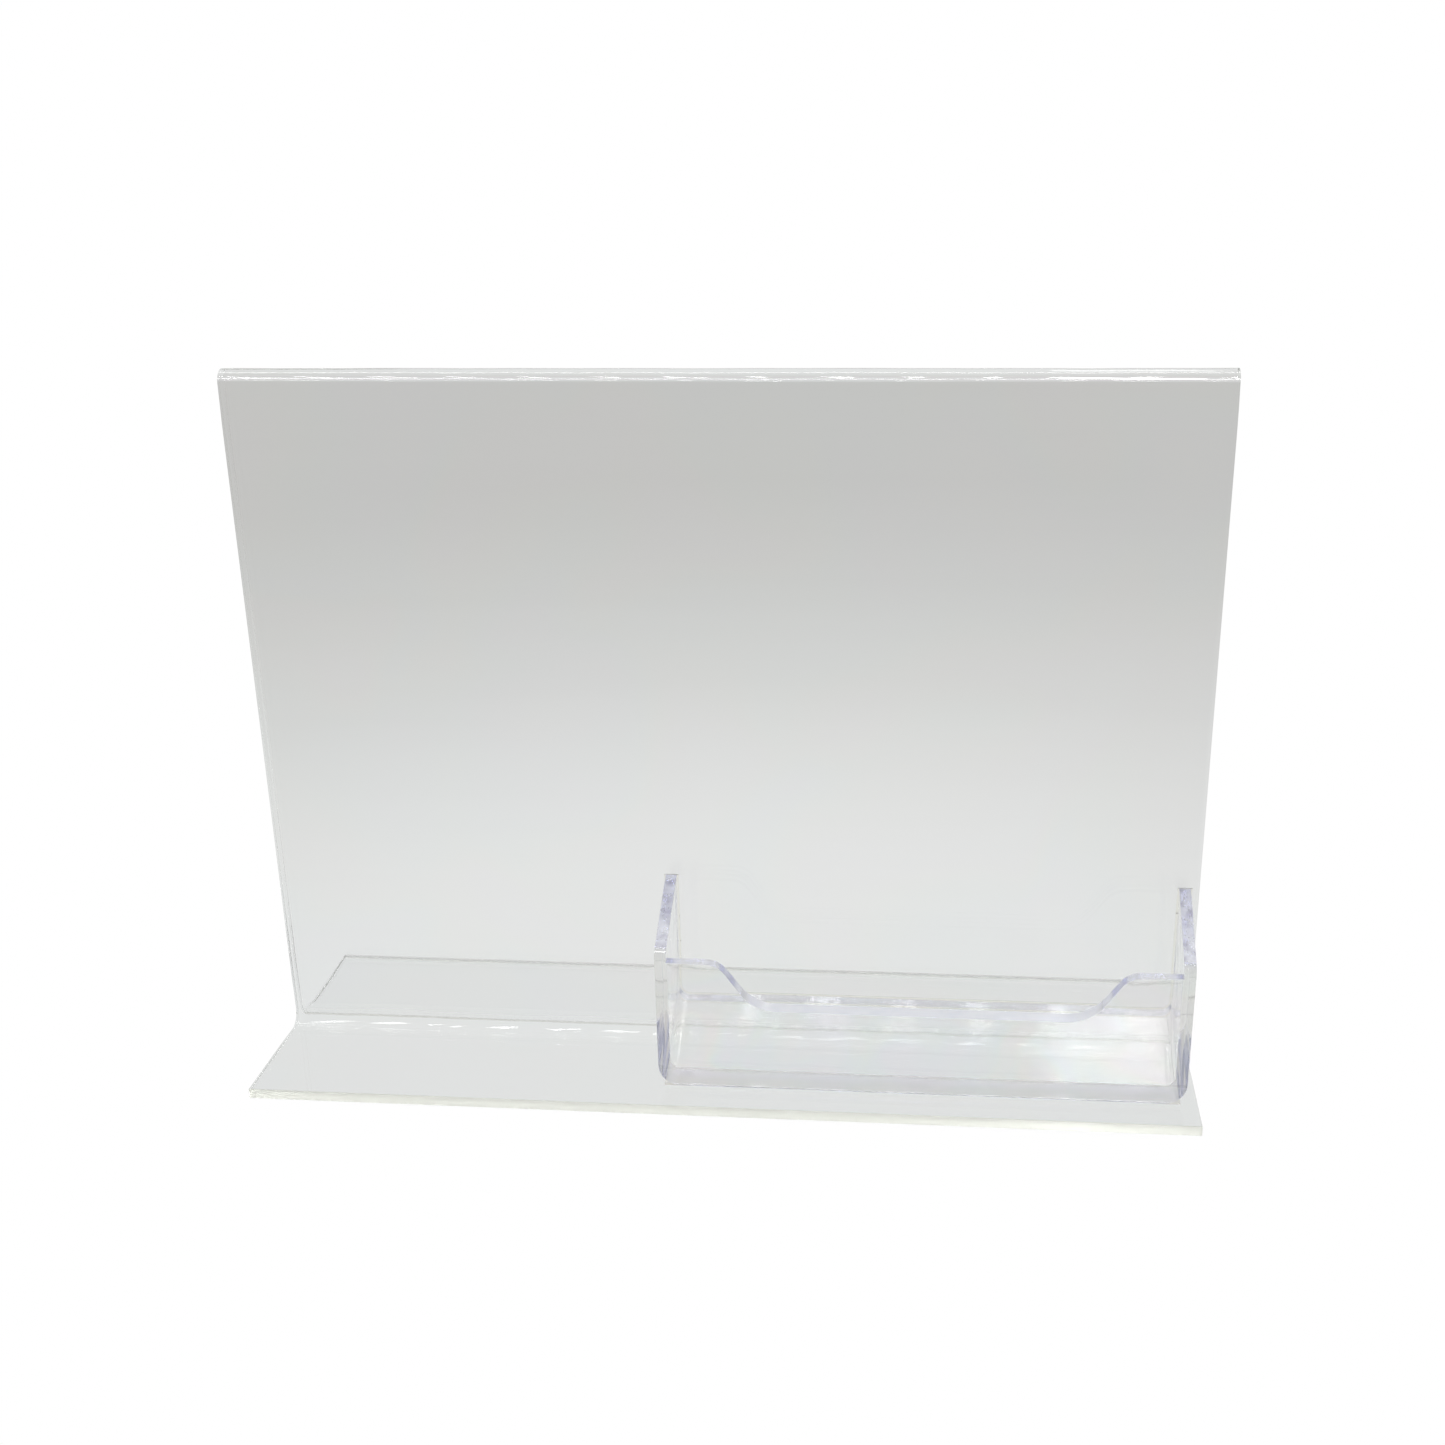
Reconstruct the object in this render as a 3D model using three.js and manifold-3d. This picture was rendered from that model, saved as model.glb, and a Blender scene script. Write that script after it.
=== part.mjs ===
// Double-sided tabletop sign holder for a landscape 7 x 5 in card, with a business card pocket.
// Millimetres, +Z up. The origin is on the table, under the middle of the sign panel.
// +X runs along the sign's width, +Y from front to rear.

import * as THREE from "three";
import * as BufferGeometryUtils from "three/addons/utils/BufferGeometryUtils.js";
import Module from "manifold-3d";

const wasm = await Module();
wasm.setup();

// --- driving dimensions -------------------------------------------------------------------

const INCH = 25.4;

// One acrylic sheet: front wing, front panel, top fold, rear panel, rear wing.
const SIGN_WIDTH = 7 * INCH;
const SIGN_HEIGHT = 131.5;
const SHEET = 2.0; // thickness of the acrylic
const SLOT = 1.0; // gap for the printed card, between the two panels
const WING_REACH = 30.0; // from the middle of the slot to a wing's edge
const FOOT_BEND_R = 3.0; // inside radius where a panel turns into its wing

// Card pocket, moulded in one piece with an open back, cemented to the front panel.
const POCKET_X = 37.7; // its middle, from the middle of the sign
const POCKET_FRONT_Y = -22.5;
const POCKET_FRONT_WIDTH = 98.0; // outside, at the front wall
const POCKET_REAR_WIDTH = 99.1; // outside, at the open back: the walls have draft
const POCKET_WALL = 2.15;
const POCKET_BOTTOM_Z = 2.1; // outside, under the front wall
const POCKET_SIDE_Z = 29.5; // top of a side wall, if its front corner were sharp
const FRONT_WALL_Z = 27.7; // top of the front wall beside the thumb cut
const POCKET_RISE = 7.3; // how much the floor and the side walls' tops climb to the rear
const POCKET_CORNER_R = 4.0; // outside, between floor and side wall

// Thumb cut in the pocket's front wall: a low middle with an S-curve up to each side.
const CUT_Z = 19.0;
const CUT_HALF = 26.5; // half of the straight middle
const CUT_LOW_R = 8.5;
const CUT_HIGH_R = 4.5;
const CUT_SLOPE = THREE.MathUtils.degToRad(53);

// Solvent cement: a film behind the pocket's rear edges, and a drop under each front corner.
const FILM = 0.2;
const SQUEEZE = 0.3; // how far the film shows beside the edge it holds
const DROP_LENGTH = 5.0;
const DROP_DEPTH = 3.8;
const DROP_GAP = 0.1; // what the drop keeps to the pocket's underside
const DROP_INSET = 1.0; // from the pocket's side

// --- derived places -----------------------------------------------------------------------

const PANEL_FACE = SHEET + SLOT / 2; // from the middle of the slot to a panel's outer face
const POCKET_REAR_Y = -PANEL_FACE - FILM;
const POCKET_DEPTH = POCKET_REAR_Y - POCKET_FRONT_Y;
const CLIMB = POCKET_RISE / POCKET_DEPTH; // slope of the pocket's floor
const FLOOR_THICKNESS = POCKET_WALL * Math.hypot(1, CLIMB); // measured upright
const WALL_GROWTH = (POCKET_REAR_WIDTH - POCKET_FRONT_WIDTH) / 2 / POCKET_DEPTH;
const CLIMB_ANGLE = Math.atan(CLIMB);
// The round front corner of a side wall's top ends level with the front wall's top.
const KNEE_R = (POCKET_SIDE_Z - FRONT_WALL_Z) / Math.tan((Math.PI / 2 - CLIMB_ANGLE) / 2);
const OVERCUT = 5.0; // how far a cutting shape runs past what it cuts
const THROUGH = 0.01; // the same, where a longer cut would reach the side walls

// --- materials ----------------------------------------------------------------------------

function clearPlastic(color, roughness) {
  return new THREE.MeshStandardMaterial({
    color,
    roughness,
    metalness: 0,
    transparent: true,
    opacity: 0.35,
  });
}

const acrylic = () => clearPlastic(0xe4e8e6, 0.04);
const polystyrene = () => clearPlastic(0xd4d6e6, 0.08);
const cement = () => clearPlastic(0xdcd8cc, 0.3);

// --- helpers ------------------------------------------------------------------------------

// Lays a shape drawn in (y, z) along the X axis, from x0 to x1.
function extrudeAlongX(shape, x0, x1, curveSegments = 12) {
  const geometry = new THREE.ExtrudeGeometry(shape, {
    depth: x1 - x0,
    bevelEnabled: false,
    curveSegments,
  });
  const alongX = new THREE.Matrix4().makeBasis(
    new THREE.Vector3(0, 1, 0),
    new THREE.Vector3(0, 0, 1),
    new THREE.Vector3(1, 0, 0),
  );
  return geometry.applyMatrix4(alongX).translate(x0, 0, 0);
}

// Lays a shape drawn in (x, z) along the Y axis, from y0 back to y1.
function extrudeAlongY(shape, y0, y1, curveSegments = 12) {
  const geometry = new THREE.ExtrudeGeometry(shape, {
    depth: y1 - y0,
    bevelEnabled: false,
    curveSegments,
  });
  return geometry.rotateX(Math.PI / 2).translate(0, y1, 0);
}

// Gives an upright pocket outline its slanted floor and the draft of its side walls.
function slantAndDraft(geometry) {
  const position = geometry.getAttribute("position");
  for (let i = 0; i < position.count; i += 1) {
    const back = position.getY(i) - POCKET_FRONT_Y;
    const x = position.getX(i) - POCKET_X;
    position.setX(i, POCKET_X + x + Math.sign(x) * WALL_GROWTH * back);
    position.setZ(i, position.getZ(i) + CLIMB * back);
  }
  return geometry;
}

function toSolid(geometry) {
  const bare = geometry.clone();
  bare.deleteAttribute("normal");
  bare.deleteAttribute("uv");
  const merged = BufferGeometryUtils.mergeVertices(bare, 1e-4);
  return new wasm.Manifold(
    new wasm.Mesh({
      numProp: 3,
      vertProperties: new Float32Array(merged.getAttribute("position").array),
      triVerts: new Uint32Array(merged.getIndex().array),
    }),
  );
}

function toGeometry(solid) {
  const mesh = solid.getMesh();
  const geometry = new THREE.BufferGeometry();
  geometry.setAttribute("position", new THREE.BufferAttribute(mesh.vertProperties, 3));
  geometry.setIndex(new THREE.BufferAttribute(mesh.triVerts, 1));
  return geometry;
}

function piece(name, geometry, material) {
  const mesh = new THREE.Mesh(geometry, material);
  mesh.name = name;
  return mesh;
}

// --- the bent sheet -----------------------------------------------------------------------

// The sheet's section, drawn in (y, z): an upside-down T with a slot up its stem.
function sheetSection() {
  const foldZ = SIGN_HEIGHT - PANEL_FACE;
  const bendY = PANEL_FACE + FOOT_BEND_R;
  const bendZ = SHEET + FOOT_BEND_R;
  const outerR = FOOT_BEND_R + SHEET;
  const half = Math.PI / 2;

  const section = new THREE.Shape();
  section.moveTo(-WING_REACH, 0);
  section.lineTo(-bendY, 0);
  section.absarc(-bendY, bendZ, outerR, -half, 0, false);
  section.absarc(0, foldZ, SLOT / 2, Math.PI, 0, true);
  section.absarc(bendY, bendZ, outerR, Math.PI, Math.PI + half, false);
  section.lineTo(WING_REACH, 0);
  section.lineTo(WING_REACH, SHEET);
  section.absarc(bendY, bendZ, FOOT_BEND_R, -half, -Math.PI, true);
  section.absarc(0, foldZ, PANEL_FACE, 0, Math.PI, false);
  section.absarc(-bendY, bendZ, FOOT_BEND_R, 0, -half, true);
  section.lineTo(-WING_REACH, SHEET);
  section.closePath();
  return section;
}

function bentSheet() {
  const geometry = extrudeAlongX(sheetSection(), -SIGN_WIDTH / 2, SIGN_WIDTH / 2);
  return piece("sign_holder_sheet", geometry, acrylic());
}

// --- the card pocket ----------------------------------------------------------------------

// A rectangle in (x, z) with its two bottom corners rounded.
function cupOutline(halfWidth, bottom, top, radius) {
  const outline = new THREE.Shape();
  outline.moveTo(POCKET_X + halfWidth, top);
  outline.lineTo(POCKET_X - halfWidth, top);
  outline.absarc(POCKET_X - halfWidth + radius, bottom + radius, radius, Math.PI, Math.PI * 1.5);
  outline.absarc(POCKET_X + halfWidth - radius, bottom + radius, radius, Math.PI * 1.5, 0);
  outline.closePath();
  return outline;
}

// The pocket's side view, drawn in (y, z), with the knee of its side walls rounded.
function sideOutline() {
  const outline = new THREE.Shape();
  outline.moveTo(POCKET_FRONT_Y, -OVERCUT);
  outline.lineTo(POCKET_REAR_Y, -OVERCUT);
  outline.lineTo(POCKET_REAR_Y, POCKET_SIDE_Z + POCKET_RISE);
  outline.absarc(
    POCKET_FRONT_Y + KNEE_R,
    FRONT_WALL_Z,
    KNEE_R,
    Math.PI / 2 + CLIMB_ANGLE,
    Math.PI,
    false,
  );
  outline.closePath();
  return outline;
}

// What the thumb cut takes from the front wall, drawn in (x, z).
function thumbCut() {
  const innerHalf = POCKET_FRONT_WIDTH / 2 - POCKET_WALL;
  const lowZ = CUT_Z + CUT_LOW_R;
  const drop = (CUT_LOW_R + CUT_HIGH_R) * (1 - Math.cos(CUT_SLOPE));
  const ramp = (FRONT_WALL_Z - CUT_Z - drop) / Math.sin(CUT_SLOPE);
  const run = (CUT_LOW_R + CUT_HIGH_R) * Math.sin(CUT_SLOPE) + ramp * Math.cos(CUT_SLOPE);
  const shoulder = CUT_HALF + run;
  const highZ = FRONT_WALL_Z - CUT_HIGH_R;
  const top = POCKET_SIDE_Z + OVERCUT;
  const down = -Math.PI / 2;
  const up = Math.PI / 2;

  const cut = new THREE.Shape();
  cut.moveTo(POCKET_X - innerHalf, top);
  cut.lineTo(POCKET_X - innerHalf, FRONT_WALL_Z);
  cut.absarc(POCKET_X - shoulder, highZ, CUT_HIGH_R, up, up - CUT_SLOPE, true);
  cut.absarc(POCKET_X - CUT_HALF, lowZ, CUT_LOW_R, down - CUT_SLOPE, down, false);
  cut.absarc(POCKET_X + CUT_HALF, lowZ, CUT_LOW_R, down, down + CUT_SLOPE, false);
  cut.absarc(POCKET_X + shoulder, highZ, CUT_HIGH_R, up + CUT_SLOPE, up, true);
  cut.lineTo(POCKET_X + innerHalf, FRONT_WALL_Z);
  cut.lineTo(POCKET_X + innerHalf, top);
  cut.closePath();
  return cut;
}

function cardPocket() {
  const half = POCKET_FRONT_WIDTH / 2;
  const top = POCKET_SIDE_Z + OVERCUT;
  const body = toSolid(
    slantAndDraft(
      extrudeAlongY(
        cupOutline(half, POCKET_BOTTOM_Z, top, POCKET_CORNER_R),
        POCKET_FRONT_Y,
        POCKET_REAR_Y,
      ),
    ),
  );
  const sides = toSolid(
    extrudeAlongX(sideOutline(), POCKET_X - half - OVERCUT, POCKET_X + half + OVERCUT),
  );
  const hollow = toSolid(
    slantAndDraft(
      extrudeAlongY(
        cupOutline(
          half - POCKET_WALL,
          POCKET_BOTTOM_Z + FLOOR_THICKNESS,
          top + OVERCUT,
          POCKET_CORNER_R - POCKET_WALL,
        ),
        POCKET_FRONT_Y + POCKET_WALL,
        POCKET_REAR_Y + OVERCUT,
      ),
    ),
  );
  const cut = toSolid(
    extrudeAlongY(
      thumbCut(),
      POCKET_FRONT_Y - OVERCUT,
      POCKET_FRONT_Y + POCKET_WALL + THROUGH,
    ),
  );
  const solid = body.intersect(sides).subtract(hollow).subtract(cut);
  return piece("card_pocket", toGeometry(solid), polystyrene());
}

// --- the cement ---------------------------------------------------------------------------

// The film behind the pocket's floor and its two rounded corners, drawn in (x, z).
function floorFilm(top) {
  const outer = POCKET_REAR_WIDTH / 2 + SQUEEZE;
  const inner = POCKET_REAR_WIDTH / 2 - POCKET_WALL - SQUEEZE;
  const outerR = POCKET_CORNER_R + SQUEEZE;
  const innerR = POCKET_CORNER_R - POCKET_WALL - SQUEEZE;
  const bottom = POCKET_BOTTOM_Z + POCKET_RISE - SQUEEZE;
  const floor = POCKET_BOTTOM_Z + POCKET_RISE + FLOOR_THICKNESS + SQUEEZE;
  const left = Math.PI;
  const down = Math.PI * 1.5;

  const film = new THREE.Shape();
  film.moveTo(POCKET_X - inner, top);
  film.lineTo(POCKET_X - outer, top);
  film.absarc(POCKET_X - outer + outerR, bottom + outerR, outerR, left, down, false);
  film.absarc(POCKET_X + outer - outerR, bottom + outerR, outerR, down, 0, false);
  film.lineTo(POCKET_X + outer, top);
  film.lineTo(POCKET_X + inner, top);
  film.absarc(POCKET_X + inner - innerR, floor + innerR, innerR, 0, down, true);
  film.absarc(POCKET_X - inner + innerR, floor + innerR, innerR, down, left, true);
  film.closePath();
  return film;
}

// The film behind one side wall: side is -1 on the left, +1 on the right.
function sideFilm(side, bottom) {
  const middle = POCKET_X + side * (POCKET_REAR_WIDTH / 2 - POCKET_WALL / 2);
  const top = POCKET_SIDE_Z + POCKET_RISE;
  const height = top - bottom;
  const film = new THREE.BoxGeometry(POCKET_WALL + 2 * SQUEEZE, FILM, height);
  return film.translate(middle, -PANEL_FACE - FILM / 2, bottom + height / 2);
}

// A drop in the wedge between the wing and the pocket's rising floor, near one front corner.
function cornerDrop(side) {
  const front = POCKET_FRONT_Y + DROP_GAP;
  const back = POCKET_FRONT_Y + DROP_DEPTH;
  const underside = (y) => POCKET_BOTTOM_Z + CLIMB * (y - POCKET_FRONT_Y) - DROP_GAP;
  const wedge = new THREE.Shape();
  wedge.moveTo(front, SHEET);
  wedge.lineTo(back, SHEET);
  wedge.lineTo(back, underside(back));
  wedge.lineTo(front, underside(front));
  wedge.closePath();

  const outer = POCKET_FRONT_WIDTH / 2 - DROP_INSET;
  const x0 = POCKET_X + (side < 0 ? -outer : outer - DROP_LENGTH);
  return extrudeAlongX(wedge, x0, x0 + DROP_LENGTH);
}

function cementPieces() {
  const filmTop = POCKET_BOTTOM_Z + POCKET_RISE + POCKET_CORNER_R + 1;
  const pieces = [
    piece(
      "cement_seam_floor",
      extrudeAlongY(floorFilm(filmTop), POCKET_REAR_Y, -PANEL_FACE),
      cement(),
    ),
  ];
  for (const [side, name] of [[-1, "left"], [1, "right"]]) {
    pieces.push(piece(`cement_seam_${name}`, sideFilm(side, filmTop), cement()));
    pieces.push(piece(`cement_drop_${name}`, cornerDrop(side), cement()));
  }
  return pieces;
}

// --- the assembly -------------------------------------------------------------------------

const signHolder = new THREE.Group();
signHolder.add(bentSheet(), cardPocket(), ...cementPieces());

export default signHolder;
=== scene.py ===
"""Looks for a clear acrylic tabletop sign holder with a moulded business card pocket.

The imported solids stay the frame. Each clear piece is built again here with its fine
surface, its worked edges and its optical finish, and stands for its solid. Lengths are
metres, +Z is up and the front is towards -Y.
"""

import logging
import math
from dataclasses import dataclass, field
from enum import Enum

import bmesh
import bpy
import numpy as np
from mathutils import Matrix, Vector


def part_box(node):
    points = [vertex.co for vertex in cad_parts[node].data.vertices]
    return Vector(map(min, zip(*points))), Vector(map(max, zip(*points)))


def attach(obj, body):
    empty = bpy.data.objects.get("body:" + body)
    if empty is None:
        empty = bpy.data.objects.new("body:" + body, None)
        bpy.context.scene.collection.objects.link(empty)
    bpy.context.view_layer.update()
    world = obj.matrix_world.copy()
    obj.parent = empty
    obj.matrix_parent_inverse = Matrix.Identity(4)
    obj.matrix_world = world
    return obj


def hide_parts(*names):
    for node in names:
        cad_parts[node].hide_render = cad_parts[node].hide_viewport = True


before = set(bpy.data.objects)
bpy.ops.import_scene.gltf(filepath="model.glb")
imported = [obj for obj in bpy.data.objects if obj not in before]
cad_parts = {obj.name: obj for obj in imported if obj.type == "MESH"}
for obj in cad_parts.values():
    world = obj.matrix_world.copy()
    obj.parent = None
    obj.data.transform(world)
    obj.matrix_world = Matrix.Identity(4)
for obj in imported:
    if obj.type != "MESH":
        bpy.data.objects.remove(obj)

LOG = logging.getLogger("sign_holder")
MM = 0.001
MERGE = 0.001 * MM
BODY = "root"
HEAT = "heat"
SAWN = "sawn"
WHITE = (1.0, 1.0, 1.0)

Colour = tuple[float, float, float]
Point = tuple[float, float]
Socket = bpy.types.NodeSocket


class Slot(Enum):
    """The record's material slots."""

    ACRYLIC = "clear_acrylic"
    POLYSTYRENE = "clear_polystyrene"
    CEMENT = "dried_cement"


class Side(Enum):
    """The two ends of the card pocket, as signs along X."""

    LEFT = -1
    RIGHT = 1


# --- small helpers ---


def add_mesh_object(name: str, shape: bmesh.types.BMesh | bpy.types.Mesh) -> bpy.types.Object:
    """Puts a shape in the scene as an object at the origin.

    Args:
        name: the piece's name.
        shape: its mesh, already in place, or a shape to make the mesh from and free.

    Returns:
        The new object.
    """
    mesh = shape
    if isinstance(shape, bmesh.types.BMesh):
        mesh = bpy.data.meshes.new(name)
        shape.to_mesh(mesh)
        shape.free()
    piece = bpy.data.objects.new(name, mesh)
    bpy.context.scene.collection.objects.link(piece)
    return piece


def merged_copy(node: str) -> bmesh.types.BMesh:
    """A copy of a CAD node's shape with its loose triangles joined up, for the caller to free."""
    shape = bmesh.new()
    shape.from_mesh(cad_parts[node].data)
    bmesh.ops.remove_doubles(shape, verts=shape.verts, dist=MERGE)
    return shape


def bake_modifiers(piece: bpy.types.Object) -> None:
    """Replaces a piece's mesh by its evaluated one and removes the modifiers."""
    graph = bpy.context.evaluated_depsgraph_get()
    evaluated = piece.evaluated_get(graph)
    mesh = bpy.data.meshes.new_from_object(evaluated, preserve_all_data_layers=True, depsgraph=graph)
    piece.modifiers.clear()
    old = piece.data
    piece.data = mesh
    mesh.name = piece.name
    bpy.data.meshes.remove(old)


def smooth_faces(mesh: bpy.types.Mesh) -> None:
    """Shades every face of a mesh smooth."""
    mesh.polygons.foreach_set("use_smooth", [True] * len(mesh.polygons))
    mesh.update()


def claim(piece: bpy.types.Object, node: str) -> None:
    """Makes a piece ride on the body and stand for its CAD node.

    Args:
        piece: the finished piece.
        node: the CAD node it stands for.
    """
    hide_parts(node)
    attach(piece, BODY)
    LOG.info("%s: %d faces, stands for %s", piece.name, len(piece.data.polygons), node)


def arc_points(centre: Point, radius: float, start: float, end: float, steps: int) -> list[Point]:
    """Points on an arc in a plane.

    Args:
        centre: the arc's centre.
        radius: its radius.
        start: first angle in radians.
        end: last angle in radians.
        steps: how many chords it gets.

    Returns:
        steps + 1 points from start to end.
    """
    angles = np.linspace(start, end, steps + 1)
    return [(centre[0] + radius * math.cos(a), centre[1] + radius * math.sin(a)) for a in angles]


# --- node trees ---


class NodeMaker:
    """Adds nodes to a tree and feeds their inputs."""

    def __init__(self, tree: bpy.types.NodeTree) -> None:
        """Starts work on a tree."""
        self.tree = tree

    @classmethod
    def emptied(cls, owner: bpy.types.Material | bpy.types.World) -> "NodeMaker":
        """Starts work on a material's or a world's tree, with nothing in it."""
        owner.use_nodes = True
        owner.node_tree.nodes.clear()
        return cls(owner.node_tree)

    def add(
        self, kind: str, links: dict[object, object] | None = None, **settings: object
    ) -> bpy.types.Node:
        """Adds a node, sets its properties and feeds its inputs.

        Args:
            kind: the node's type.
            links: input name or index to a socket to link or a value to set.
            settings: the node's own properties.

        Returns:
            The node.
        """
        node = self.tree.nodes.new(kind)
        for label, value in settings.items():
            setattr(node, label, value)
        for label, value in (links or {}).items():
            socket = node.inputs[label]
            if isinstance(value, Socket):
                self.tree.links.new(value, socket)
            else:
                socket.default_value = value
        return node

    def math(self, operation: str, a: object, b: object) -> Socket:
        """The result of a sum whose operands are sockets or numbers."""
        return self.add("ShaderNodeMath", {0: a, 1: b}, operation=operation).outputs[0]

    def noise(
        self, place: Socket, scale: Socket | float, detail: float, distortion: float = 0.0
    ) -> Socket:
        """The level of a noise pattern.

        Args:
            place: the coordinates it is read at.
            scale: how fine it is.
            detail: how many finer layers it has.
            distortion: how far it is swirled.

        Returns:
            The level's socket.
        """
        links = {"Vector": place, "Scale": scale, "Detail": detail, "Distortion": distortion}
        return self.add("ShaderNodeTexNoise", links).outputs["Fac"]

    def stretched(self, place: Socket, scale: Colour) -> Socket:
        """Coordinates scaled by a factor for each axis."""
        return self.add("ShaderNodeMapping", {"Vector": place, "Scale": scale}).outputs["Vector"]

    def scaled(self, vector: Socket, factor: Socket) -> Socket:
        """A vector or a colour times a number."""
        links = {0: vector, "Scale": factor}
        return self.add("ShaderNodeVectorMath", links, operation="SCALE").outputs[0]

    def clamped(self, level: Socket) -> Socket:
        """A level held between 0 and 1."""
        return self.add("ShaderNodeClamp", {"Value": level}).outputs["Result"]

    def ramp(self, level: Socket, stops: list[tuple[float, Colour]], bend: str) -> Socket:
        """The colour that a level stands for.

        Args:
            level: where on the ramp to read.
            stops: place and colour of each stop, in order.
            bend: how the colours between the stops are found.

        Returns:
            The colour's socket.
        """
        node = self.add("ShaderNodeValToRGB", {"Fac": level})
        node.color_ramp.interpolation = bend
        for element, (where, colour) in zip(node.color_ramp.elements, (stops[0], stops[-1])):
            element.position, element.color = where, (*colour, 1.0)
        for where, colour in stops[1:-1]:
            node.color_ramp.elements.new(where).color = (*colour, 1.0)
        return node.outputs["Color"]

    def mixed(self, share: Socket, one: object, other: object, blend: str = "MIX") -> Socket:
        """A blend of two colours.

        Args:
            share: how much of the second colour there is.
            one: the first colour, a socket or a value.
            other: the second one.
            blend: how they are combined.

        Returns:
            The blend's socket.
        """
        links = {"Factor": share, 6: one, 7: other}
        return self.add("ShaderNodeMix", links, data_type="RGBA", blend_type=blend).outputs[2]


class NodeGroup(NodeMaker):
    """A node group under construction, with named inputs and outputs."""

    def __init__(self, name: str, kind: str) -> None:
        """Starts an empty group of a tree type."""
        super().__init__(bpy.data.node_groups.new(name, kind))
        self.source = self.tree.nodes.new("NodeGroupInput")
        self.sink = self.tree.nodes.new("NodeGroupOutput")

    def declare(self, label: str, kind: str) -> None:
        """Adds a named input of a socket type."""
        self.tree.interface.new_socket(label, in_out="INPUT", socket_type=kind)

    def given(self, label: str) -> Socket:
        """The socket that gives a named input's value."""
        return self.source.outputs[label]

    def give(self, label: str, kind: str, value: Socket) -> None:
        """Adds a named output and links what it gives."""
        self.tree.interface.new_socket(label, in_out="OUTPUT", socket_type=kind)
        self.tree.links.new(value, self.sink.inputs[label])


# --- shader node groups ---


class SurfaceGroup(NodeGroup):
    """A shader group on Object coordinates that several finishes share."""

    name: str
    inputs: tuple[str, ...]

    def __init__(self) -> None:
        """Builds the group from its inputs to its outputs."""
        super().__init__(self.name, "ShaderNodeTree")
        for label in self.inputs:
            self.declare(label, "NodeSocketFloat")
        self.place = self.add("ShaderNodeTexCoord").outputs["Object"]
        self.wire()

    def wire(self) -> None:
        """Adds the group's own nodes and outputs."""
        raise NotImplementedError

    @classmethod
    def shared(cls) -> bpy.types.NodeTree:
        """The group's tree, built the first time that a finish asks for it."""
        return bpy.data.node_groups.get(cls.name) or cls().tree


class HandlingWear(SurfaceGroup):
    """Faint smears, fine scuffs and long waves of a clear plastic face."""

    name = "handling_wear"
    inputs = ("Polish", "Haze", "Smear Scale", "Scuff Scale", "Wave Scale", "Wave Height")

    def wire(self) -> None:
        """Adds three layers of noise and gives Roughness and Height."""
        smear = self.noise(self.place, self.given("Smear Scale"), 4.0)
        scuff = self.noise(self.place, self.given("Scuff Scale"), 2.0)
        wave = self.noise(self.place, self.given("Wave Scale"), 1.0)
        patch = self.math("MAXIMUM", self.math("SUBTRACT", smear, 0.5), 0.0)
        haze = self.math("MULTIPLY", patch, self.given("Haze"))
        waves = self.math("MULTIPLY", wave, self.given("Wave Height"))
        self.give("Roughness", "NodeSocketFloat", self.math("ADD", haze, self.given("Polish")))
        self.give("Height", "NodeSocketFloat", self.math("ADD", waves, scuff))


class StressColours(SurfaceGroup):
    """Pale rainbow patches and long streaks that strained plastic shows."""

    name = "stress_colours"
    inputs = ("Strength", "Patch Scale", "Streak Scale", "Streaks")
    streak_stretch = (0.03, 1.0, 1.0)
    rainbow = [
        (0.30, WHITE),
        (0.40, (1.0, 0.80, 0.90)),
        (0.46, (1.0, 0.96, 0.72)),
        (0.52, (0.74, 1.0, 0.86)),
        (0.58, (0.72, 0.90, 1.0)),
        (0.64, (0.88, 0.80, 1.0)),
        (0.72, WHITE),
    ]

    def wire(self) -> None:
        """Adds the patches and the streaks and gives Color, white where there is no strain."""
        patch = self.noise(self.place, self.given("Patch Scale"), 1.5, distortion=0.8)
        colour = self.ramp(patch, self.rainbow, "B_SPLINE")
        tint = self.mixed(self.given("Strength"), (*WHITE, 1.0), colour)
        along = self.stretched(self.place, self.streak_stretch)
        streak = self.noise(along, self.given("Streak Scale"), 3.0)
        level = self.math("SUBTRACT", 1.0, self.math("MULTIPLY", streak, self.given("Streaks")))
        self.give("Color", "NodeSocketColor", self.scaled(tint, level))


class ToolMarks(SurfaceGroup):
    """Fine marks that run through a sawn or eroded face."""

    name = "tool_marks"
    inputs = ("Roughness", "Spread", "Mark Scale", "Grain Scale")
    mark_stretch = (1.0, 0.6, 0.08)
    blot_scale = 400.0
    blot_start = 0.42
    blot_gain = 4.0

    def wire(self) -> None:
        """Adds marks, grain and blots and gives Roughness, Height and Stain."""
        upright = self.stretched(self.place, self.mark_stretch)
        marks = self.noise(upright, self.given("Mark Scale"), 3.0)
        grain = self.noise(self.place, self.given("Grain Scale"), 2.0)
        blot = self.noise(self.place, self.blot_scale, 3.0)
        spread = self.math("MULTIPLY", self.math("SUBTRACT", marks, 0.5), self.given("Spread"))
        stain = self.math("MULTIPLY", self.math("SUBTRACT", blot, self.blot_start), self.blot_gain)
        self.give("Roughness", "NodeSocketFloat", self.math("ADD", spread, self.given("Roughness")))
        self.give("Height", "NodeSocketFloat", self.math("ADD", marks, grain))
        self.give("Stain", "NodeSocketFloat", self.clamped(stain))


# --- finishes ---


@dataclass(frozen=True)
class Depth:
    """How the light fades on its way through a material."""

    colour: Colour
    density: float


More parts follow.
